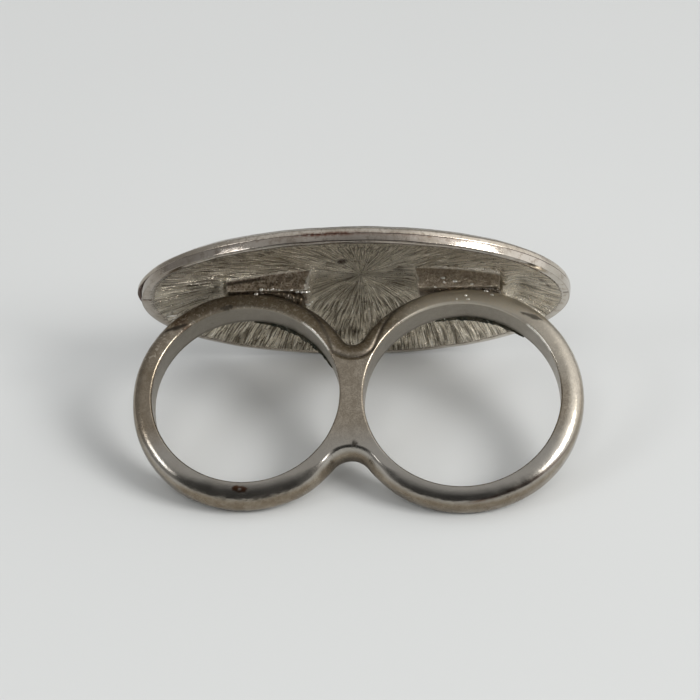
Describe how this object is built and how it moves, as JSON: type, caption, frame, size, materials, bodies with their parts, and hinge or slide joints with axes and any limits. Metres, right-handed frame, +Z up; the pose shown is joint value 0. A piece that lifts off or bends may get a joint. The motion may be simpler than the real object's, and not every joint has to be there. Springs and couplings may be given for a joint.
{
  "type": "double finger ring",
  "caption": "Two-finger ring in cast metal: twin round finger loops joined by a web and soldered to a large oval plate with a hollow fluted back",
  "frame": {"origin": "on the floor under the middle of the ring's bounding box, as it rests", "axes": "+X along the plate and from the left finger loop to the right one, +Y from the loops towards the face plate, +Z up"},
  "size_m": [0.0434, 0.0272, 0.0238],
  "materials": {
    "cast_metal": "satin, tarnished in the hollows",
    "face_metal": "satin"
  },
  "bodies": {
    "root": {"ring_body": "cast_metal", "face_plate": "face_metal"}
  },
  "joints": []
}
